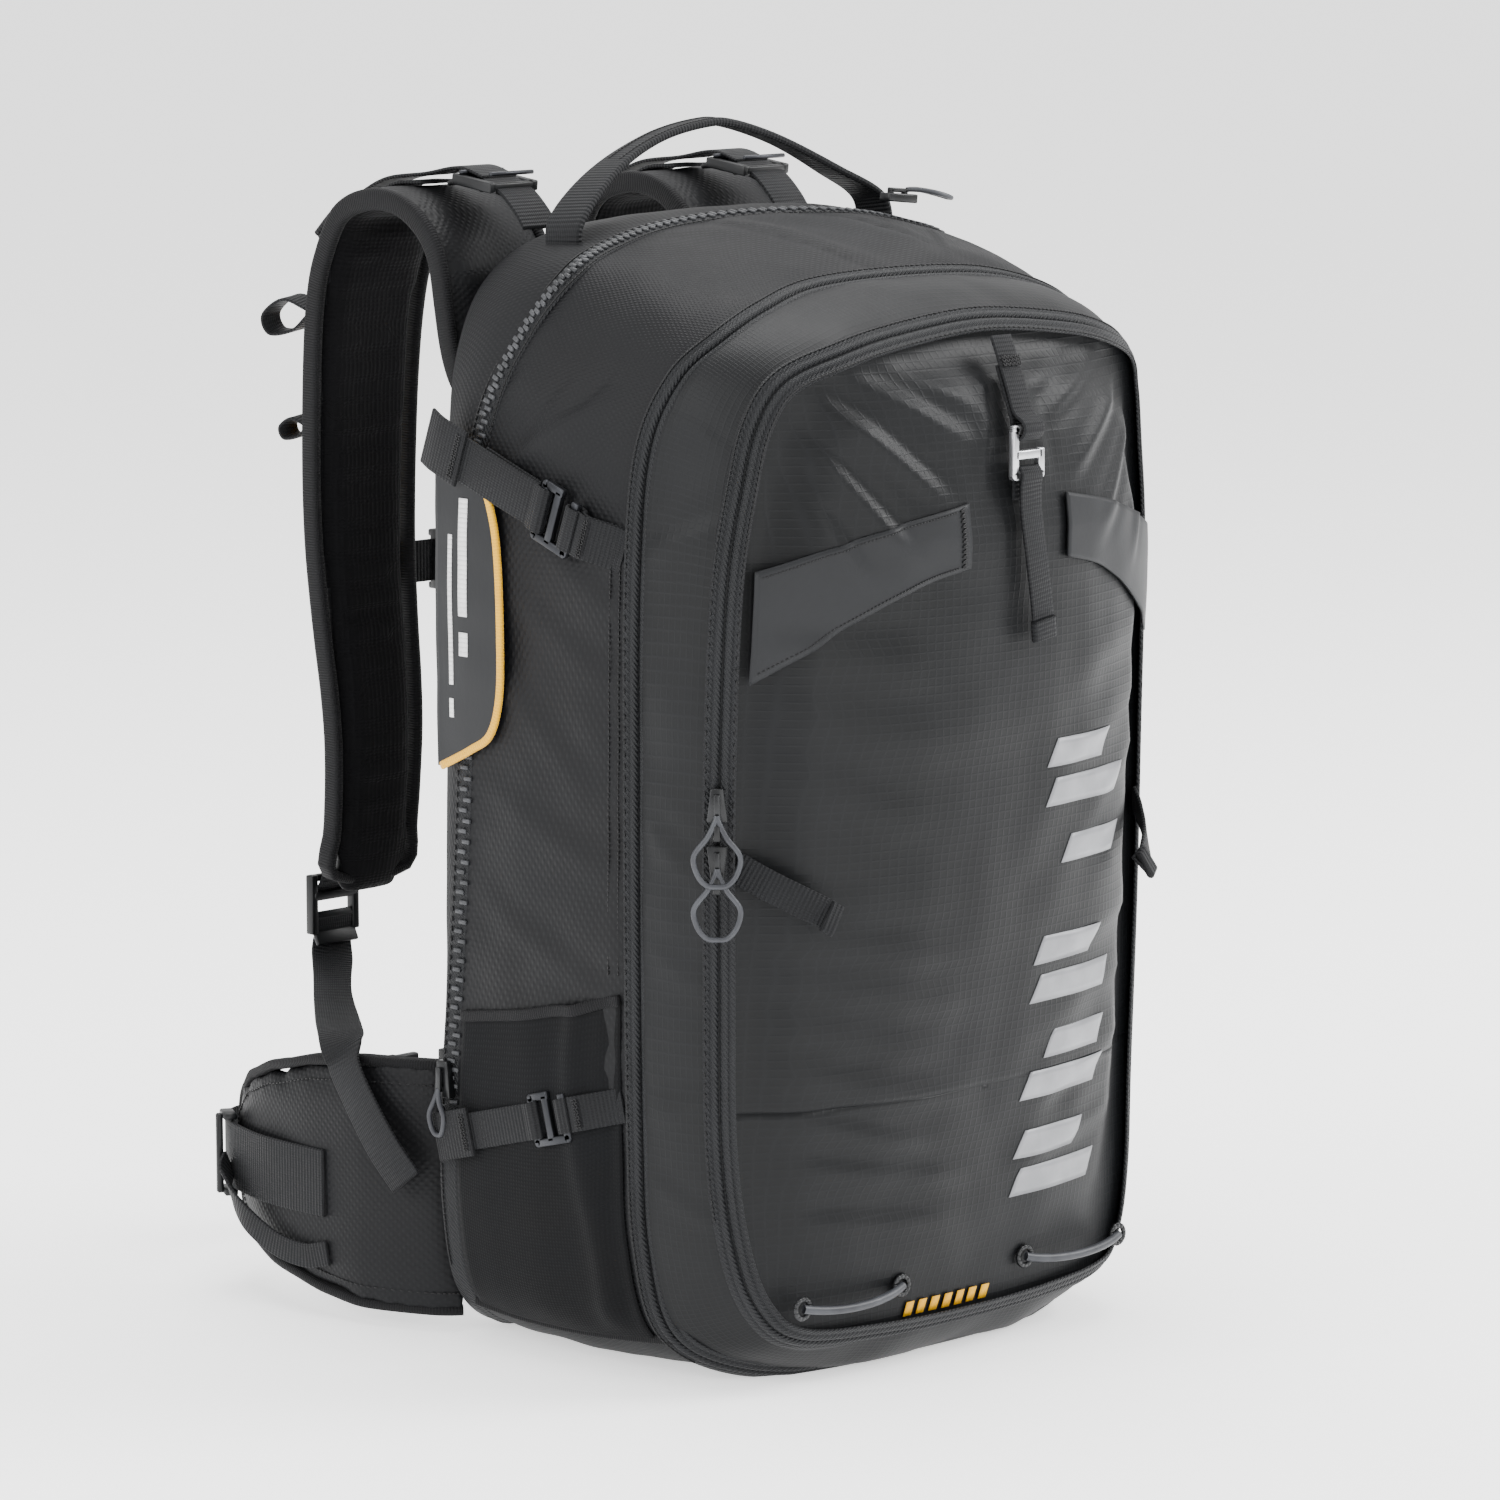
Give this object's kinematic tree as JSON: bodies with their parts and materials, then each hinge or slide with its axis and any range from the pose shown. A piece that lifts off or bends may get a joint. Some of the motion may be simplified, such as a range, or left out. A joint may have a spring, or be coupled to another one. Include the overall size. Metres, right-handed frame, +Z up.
{
  "type": "avalanche airbag backpack",
  "caption": "Ski-touring backpack with an airbag burst zip round its top, panel-opening front, tool compartment lid, hook-closed straps, shoulder harness and hip belt.",
  "frame": {"origin": "middle of the flat bottom of the pack body, on the floor", "axes": "+Z up along the pack's height, +Y towards the wearer (harness side), +X to the wearer's right"},
  "size_m": [0.31, 0.402, 0.5195],
  "materials": {
    "shell_fabric": "coated woven polyamide",
    "front_fabric": "satin coated ripstop",
    "pad_foam": "foam pad under spacer mesh",
    "webbing": "ribbed woven webbing",
    "zip_tape": "coated zip tape with coil",
    "burst_teeth": "moulded zip teeth",
    "patch": "rubber-coated patch",
    "lining": "thin lining fabric",
    "airbag_cloth": "folded coated polyamide",
    "buckle_plastic": "moulded acetal",
    "dark_metal": "dark anodised",
    "bright_metal": "satin anodised",
    "frame_plastic": "pressed polyethylene sheet",
    "cord": "elastic cord",
    "bottle": "painted gas bottle",
    "accent": "yellow moulded grip",
    "slider_metal": "enamelled die casting"
  },
  "bodies": {
    "pack": {"back_tub": "shell_fabric", "bottom_boot": "shell_fabric", "airbag_zip": "burst_teeth", "main_zip_tub": "zip_tape", "back_pad": "pad_foam", "frame_sheet": "frame_plastic", "frame_stay": "bright_metal", "airbag_packet": "airbag_cloth", "gas_bottle": "bottle", "inflation_head": "dark_metal", "trigger_cable": "cord", "airbag_sliders": "slider_metal", "haul_handle": "webbing", "side_straps_left": "webbing", "side_straps_right": "webbing", "catch_loops_left": "webbing", "catch_loops_right": "webbing", "burst_flap": "shell_fabric", "tool_loops": "cord", "lower_web_left": "webbing", "lower_web_right": "webbing", "lifter_web_left": "webbing", "lifter_web_right": "webbing"},
    "front_section": {"front_frame": "shell_fabric", "lower_front": "front_fabric", "tool_divider": "lining", "main_zip_front": "zip_tape", "tool_zip_inner": "zip_tape", "tool_slider_low": "slider_metal"},
    "lid": {"tool_lid": "front_fabric", "tool_zip_outer": "zip_tape", "wing_patches": "patch", "front_strap": "webbing"},
    "front_hook": {"front_hook": "bright_metal", "front_tail": "webbing"},
    "tool_slider": {"tool_slider": "slider_metal"},
    "tool_pull": {"tool_pull": "cord"},
    "main_slider": {"main_slider": "slider_metal"},
    "main_pull": {"main_pull": "cord"},
    "upper_hook_left": {"upper_hook_left": "dark_metal"},
    "upper_hook_right": {"upper_hook_right": "dark_metal"},
    "lower_hook_left": {"lower_hook_left": "dark_metal"},
    "lower_hook_right": {"lower_hook_right": "dark_metal"},
    "strap_left": {"shoulder_pad_left": "pad_foam", "locks_left": "buckle_plastic", "sternum_web_left": "webbing", "sternum_female": "buckle_plastic", "sternum_slider_left": "buckle_plastic"},
    "strap_right": {"shoulder_pad_right": "pad_foam", "locks_right": "buckle_plastic", "sternum_slider_right": "buckle_plastic"},
    "sternum_tail": {"sternum_male": "buckle_plastic", "sternum_web_right": "webbing"},
    "trigger": {"trigger_handle": "accent"},
    "belt_left": {"hip_wing_left": "pad_foam", "hip_web_left": "webbing", "hip_female": "buckle_plastic"},
    "belt_right": {"hip_wing_right": "pad_foam", "hip_web_right": "webbing", "hip_male": "buckle_plastic"}
  },
  "joints": [
    {"name": "front_open", "type": "hinge", "parent": "pack", "child": "front_section", "pos_m": [0, -0.096, 0.052], "axis": [1, 0, 0], "range_deg": [0, 75]},
    {"name": "lid_open", "type": "hinge", "parent": "front_section", "child": "lid", "pos_m": [0, -0.112, 0.2], "axis": [1, 0, 0], "range_deg": [0, 75]},
    {"name": "front_hook_swing", "type": "hinge", "parent": "lid", "child": "front_hook", "pos_m": [0, -0.1285, 0.401], "axis": [-1, 0, 0], "range_deg": [0, 50]},
    {"name": "tool_zip_slide", "type": "slide", "parent": "front_section", "child": "tool_slider", "axis": [0, 0, 1], "range_m": [0, 0.1]},
    {"name": "tool_pull_flip", "type": "hinge", "parent": "tool_slider", "child": "tool_pull", "pos_m": [-0.1357, -0.076, 0.2525], "axis": [0, 1, 0], "range_deg": [0, 90]},
    {"name": "main_zip_slide", "type": "slide", "parent": "pack", "child": "main_slider", "axis": [0, 0, 1], "range_m": [0, 0.3]},
    {"name": "main_pull_flip", "type": "hinge", "parent": "main_slider", "child": "main_pull", "pos_m": [0.1423, -0.036, 0.0735], "axis": [0, -1, 0], "range_deg": [0, 90]},
    {"name": "upper_hook_left_tilt", "type": "hinge", "parent": "pack", "child": "upper_hook_left", "pos_m": [-0.1426, 0.014, 0.3675], "axis": [0, 0.342, -0.9397], "range_deg": [-3, 3]},
    {"name": "upper_hook_right_tilt", "type": "hinge", "parent": "pack", "child": "upper_hook_right", "pos_m": [0.1426, 0.014, 0.3675], "axis": [0, 0.342, -0.9397], "range_deg": [-3, 3]},
    {"name": "lower_hook_left_tilt", "type": "hinge", "parent": "pack", "child": "lower_hook_left", "pos_m": [-0.1426, 0.02, 0.107], "axis": [0, -0.2588, -0.9659], "range_deg": [-3, 3]},
    {"name": "lower_hook_right_tilt", "type": "hinge", "parent": "pack", "child": "lower_hook_right", "pos_m": [0.1426, 0.02, 0.107], "axis": [0, -0.2588, -0.9659], "range_deg": [-3, 3]},
    {"name": "strap_left_swing", "type": "hinge", "parent": "pack", "child": "strap_left", "pos_m": [-0.076, 0.116, 0.452], "axis": [1, 0, 0], "range_deg": [-6, 15], "deforming": ["lower_web_left", "lifter_web_left"]},
    {"name": "strap_right_swing", "type": "hinge", "parent": "pack", "child": "strap_right", "pos_m": [0.076, 0.116, 0.452], "axis": [1, 0, 0], "range_deg": [-6, 15], "deforming": ["lower_web_right", "lifter_web_right"]},
    {"name": "sternum_release", "type": "slide", "parent": "strap_left", "child": "sternum_tail", "axis": [1, 0, 0], "range_m": [0, 0.02]},
    {"name": "trigger_pull", "type": "slide", "parent": "strap_left", "child": "trigger", "axis": [0, 0.9404, -0.3401], "range_m": [0, 0.04]},
    {"name": "belt_left_swing", "type": "hinge", "parent": "pack", "child": "belt_left", "pos_m": [-0.13, 0.101, 0.06], "axis": [0, 0, 1], "range_deg": [0, 35], "deforming": ["lower_web_left"]},
    {"name": "belt_right_swing", "type": "hinge", "parent": "pack", "child": "belt_right", "pos_m": [0.13, 0.101, 0.06], "axis": [0, 0, -1], "range_deg": [0, 35], "deforming": ["lower_web_right"]}
  ],
  "couplings": [
    {"joint": "strap_right_swing", "follows": "strap_left_swing", "ratio": 1}
  ]
}
